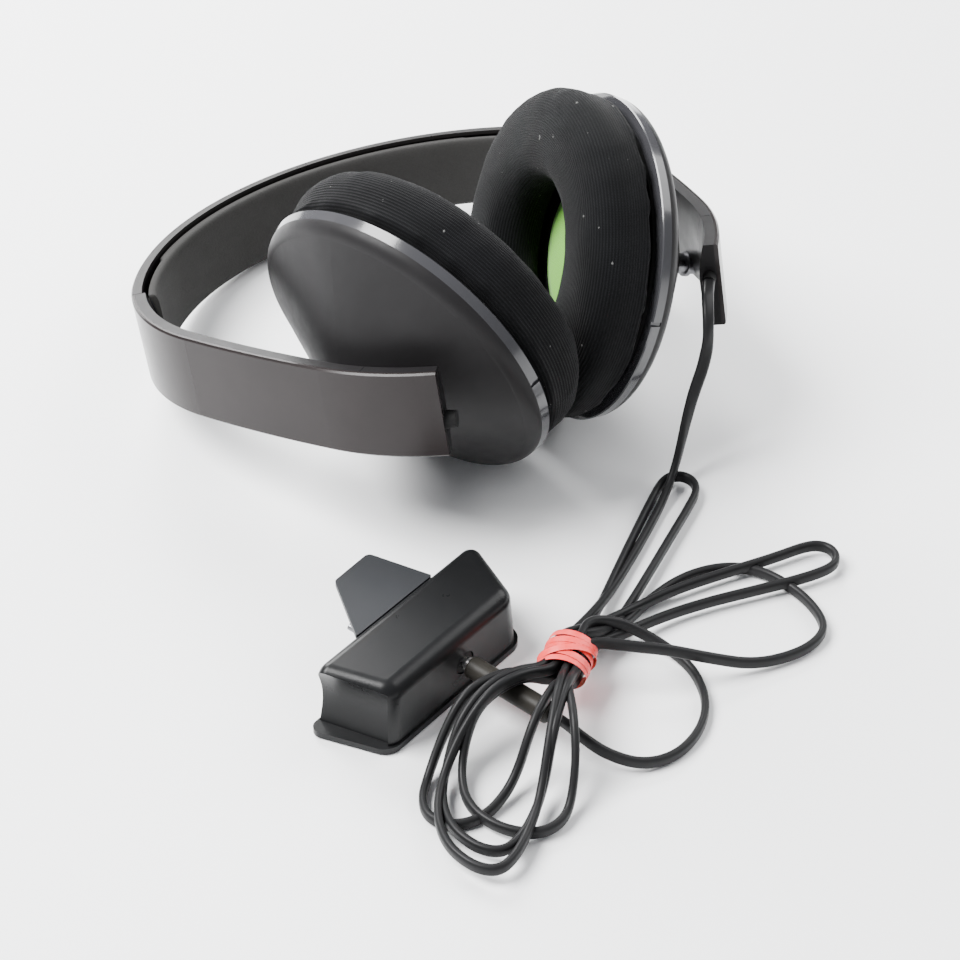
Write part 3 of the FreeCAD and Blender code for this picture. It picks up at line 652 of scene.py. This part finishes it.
for side in ("left", "right"):
    place = cupPlace(side)
    bm = bmesh.new()
    profile = []
    for step in range(9):
        part = step / 8
        height = clothSettings["rim"] - clothSettings["dome"] * (1 - part * part)
        profile.append(bm.verts.new((part * clothSettings["radius"], 0, height)))
    arc = [bm.edges.new(pair) for pair in zip(profile, profile[1:])]
    bmesh.ops.spin(bm, geom=profile + arc, cent=(0, 0, 0), axis=(0, 0, 1), angle=math.radians(360), steps=64,
                   use_merge=True, use_duplicate=False)
    bmesh.ops.remove_doubles(bm, verts=bm.verts, dist=0.00001)
    bmesh.ops.solidify(bm, geom=bm.verts[:] + bm.edges[:] + bm.faces[:], thickness=clothSettings["thickness"])
    bmesh.ops.recalc_face_normals(bm, faces=bm.faces)
    bmesh.ops.transform(bm, verts=bm.verts, matrix=place)
    finish = weaveFinish(side + "Weave", place, clothSettings["color"], clothSettings["thread"])
    driverCloth = finishMesh(bm, side + "DriverCloth", finish)
    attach(driverCloth, side + "_cup")
    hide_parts("driver_cloth_" + side)
    wide = 2 * clothSettings["radius"]
print("driver cloths stretched")

# ---- band pad: one crowned section, spun along the band's two curves and mirrored

padSettings = {
    "crownRadius": 0.089,
    "crownTurn": 56.0,
    "shoulderRadius": 0.059,
    "shoulderTurn": 7.4,
    "back": 0.0027,
    "front": 0.0076,
    "low": 0.0013,
    "high": 0.0237,
    "slotFrom": 0.066,
    "slotDepth": 0.00495,
    "flatPower": 0.30,
    "crownPower": 0.62,
    "sameAngle": 0.001,
    "tilt": 14.2,
    "place": (0, 0.07755, 0.00006),
    "color": (0.0105, 0.0098, 0.0088),
}


def openSlot(verts, center, radius, startAngle, startDistance):
    # thin the pad's back where the steel bars slide behind it
    for vert in verts:
        spoke = Vector((vert.co.x - center[0], vert.co.y - center[1]))
        distance = startDistance + (math.atan2(spoke.x, spoke.y) - startAngle) * radius
        if distance > padSettings["slotFrom"] and radius - spoke.length < padSettings["slotDepth"]:
            spoke *= (radius - padSettings["slotDepth"]) / spoke.length
            vert.co = Vector((center[0] + spoke.x, center[1] + spoke.y, vert.co.z))


bm = bmesh.new()
section = bmesh.ops.create_circle(bm, segments=40, radius=1.0)["verts"]
middleDepth = (padSettings["back"] + padSettings["front"]) / 2
halfDepth = (padSettings["front"] - padSettings["back"]) / 2
for vert in section:
    wide = math.copysign(abs(vert.co.x) ** padSettings["flatPower"], vert.co.x)
    deep = math.copysign(abs(vert.co.y) ** padSettings["crownPower"], vert.co.y)
    across = ((padSettings["low"] + padSettings["high"]) / 2
              + wide * (padSettings["high"] - padSettings["low"]) / 2)
    vert.co = Vector((0, -(middleDepth + deep * halfDepth), across))
crownCenter = (0.0, -padSettings["crownRadius"])
crownEnd = math.radians(padSettings["crownTurn"])
bmesh.ops.spin(bm, geom=bm.verts[:] + bm.edges[:], cent=(*crownCenter, 0), axis=(0, 0, 1),
               angle=-crownEnd, steps=56, use_merge=False, use_duplicate=False)
openSlot(bm.verts, crownCenter, padSettings["crownRadius"], 0.0, 0.0)
inset = padSettings["crownRadius"] - padSettings["shoulderRadius"]
shoulderCenter = (crownCenter[0] + math.sin(crownEnd) * inset, crownCenter[1] + math.cos(crownEnd) * inset)
lastRing = [vert for vert in bm.verts
            if abs(math.atan2(vert.co.x, vert.co.y - crownCenter[1]) - crownEnd) < padSettings["sameAngle"]]
lastEdges = [edge for edge in bm.edges if all(vert in lastRing for vert in edge.verts)]
grown = bmesh.ops.spin(bm, geom=lastRing + lastEdges, cent=(*shoulderCenter, 0), axis=(0, 0, 1),
                       angle=-math.radians(padSettings["shoulderTurn"]), steps=8, use_merge=False,
                       use_duplicate=False)
tail = [part for part in grown["geom_last"] if isinstance(part, bmesh.types.BMEdge)]
bmesh.ops.contextual_create(bm, geom=tail)
bmesh.ops.mirror(bm, geom=bm.verts[:] + bm.edges[:] + bm.faces[:], axis="X", merge_dist=0.00002)
bmesh.ops.recalc_face_normals(bm, faces=bm.faces)
bmesh.ops.transform(bm, verts=bm.verts, matrix=Matrix.Translation(padSettings["place"])
                    @ Matrix.Rotation(-math.radians(padSettings["tilt"]), 4, "X"))
bandPad = finishMesh(bm, "bandPad", clothFinish("bandSuede", padSettings["color"], 0.00055, 0.95, 0.35))
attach(bandPad, "band")
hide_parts("band_pad")
print("band pad laid")

# ---- finishes for the pieces carried over from the CAD

finishes = {
    "arm_skin": plasticFinish("armSkin", (0.012, 0.0095, 0.0095), 0.22, 0.0006, 0.000004, 0.5, 0.0, 0.17),
    "arm_cap": plasticFinish("armCap", (0.009, 0.0085, 0.009), 0.36, 0.0003, 0.00002),
    "arm_body": plasticFinish("armBody", (0.009, 0.0085, 0.009), 0.36, 0.0003, 0.00002),
    "band_shell": plasticFinish("bandShell", (0.012, 0.011, 0.011), 0.30, 0.0005, 0.000008),
    "cup_cover": plasticFinish("cupCover", (0.011, 0.0105, 0.011), 0.40, 0.00012, 0.000008, 0.3),
    "cup_rim": plasticFinish("cupRim", (0.030, 0.030, 0.033), 0.16, 0.0006, 0.000003, 0.3, 0.25, 0.4),
    "adapter": plasticFinish("adapterCase", (0.006, 0.0062, 0.0066), 0.30, 0.00016,
                             0.000010, 0.25, 0.0, 0.17),
    "tongue": plasticFinish("adapterTongue", (0.020, 0.021, 0.023), 0.38, 0.00016, 0.000016, 0.3),
    "key": plasticFinish("keys", (0.018, 0.018, 0.019), 0.45, 0.0002, 0.000015),
    "barrel": plasticFinish("plugBarrel", (0.018, 0.0165, 0.014), 0.42, 0.0002, 0.00002, 0.3),
    "inner": plasticFinish("innerPlastic", (0.006, 0.006, 0.006), 0.5, 0.0004, 0.00002),
    "nylon": plasticFinish("linerNylon", (0.55, 0.53, 0.48), 0.4, 0.0003, 0.00001),
    "rubber": plasticFinish("softRubber", (0.010, 0.010, 0.010), 0.6, 0.0002, 0.00003),
    "board": plasticFinish("boardGreen", (0.02, 0.10, 0.04), 0.4, 0.0005, 0.00001),
    "film": plasticFinish("driverFilm", (0.45, 0.42, 0.33), 0.25, 0.0008, 0.00001),
    "steel": metalFinish("steel", (0.62, 0.61, 0.60), 0.25),
    "spring": metalFinish("springSteel", (0.50, 0.50, 0.51), 0.3, 0),
    "dark": metalFinish("magnetSteel", (0.20, 0.20, 0.21), 0.35),
}
print("finishes ready:", len(finishes))

finishOf = {
    "arm_skin": "arm_skin", "arm_cap": "arm_cap", "arm_body": "arm_body", "arm_slider": "spring",
    "ball_stud": "dark", "band_shell": "band_shell", "band_spring": "spring", "cup_cover": "cup_cover",
    "cup_rim": "cup_rim", "cup_screws": "steel", "cushion_ring": "inner", "baffle": "inner",
    "ball_socket": "inner", "socket_liner": "nylon", "driver_frame": "inner",
    "driver_grille": "inner", "driver_magnet": "dark", "diaphragm": "film", "cable_grommet": "rubber",
    "end_plug": "rubber", "adapter_case": "adapter", "adapter_face": "adapter",
    "adapter_tongue": "tongue", "adapter_board": "board", "adapter_connector": "dark",
    "adapter_screws": "steel", "jack_socket": "inner", "plug_barrel": "barrel", "plug_pin": "steel",
    "button": "key",
}
for nodeName, node in frame["nodes"].items():
    kind = next((name for name in finishOf if nodeName.startswith(name)), None)
    if kind is None or node.name not in bpy.data.objects:
        continue
    if not node.material_slots:
        node.data.materials.append(finishes[finishOf[kind]])
    for holder in node.material_slots:
        holder.link = "OBJECT"
        holder.material = finishes[finishOf[kind]]
print("finishes given to the CAD pieces")
